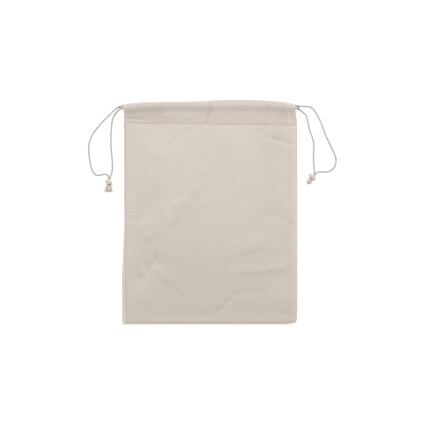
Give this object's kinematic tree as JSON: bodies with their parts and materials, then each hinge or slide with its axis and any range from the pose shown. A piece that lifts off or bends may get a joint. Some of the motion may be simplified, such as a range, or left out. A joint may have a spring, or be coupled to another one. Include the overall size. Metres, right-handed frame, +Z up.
{
  "type": "drawstring shoe bag",
  "caption": "Soft cotton bag lying flat, open at the top, with a doubled hem that holds a drawcord knotted at each side.",
  "frame": {"origin": "on the surface under the middle of the bag, measured without the free cords", "axes": "+X to the right across the bag, +Y up the bag towards its mouth, +Z up from the surface it lies on"},
  "size_m": [0.4433, 0.3995, 0.0168],
  "materials": {
    "front_cotton": "matt undyed plain weave",
    "back_cotton": "matt undyed plain weave",
    "hem_cotton": "matt undyed plain weave, doubled",
    "seam_cotton": "matt undyed plain weave",
    "cord_cotton": "matt twisted cotton cord",
    "knot_cotton": "matt twisted cotton cord, frayed at its ends"
  },
  "bodies": {
    "root": {"front_panel": "front_cotton", "back_panel": "back_cotton", "front_casing": "hem_cotton", "back_casing": "hem_cotton", "left_seam": "seam_cotton", "right_seam": "seam_cotton", "bottom_seam": "seam_cotton", "left_cord_held": "cord_cotton", "right_cord_held": "cord_cotton", "left_front_strand": "cord_cotton", "left_back_strand": "cord_cotton", "right_front_strand": "cord_cotton", "right_back_strand": "cord_cotton", "left_knot": "knot_cotton", "right_knot": "knot_cotton"}
  },
  "joints": []
}
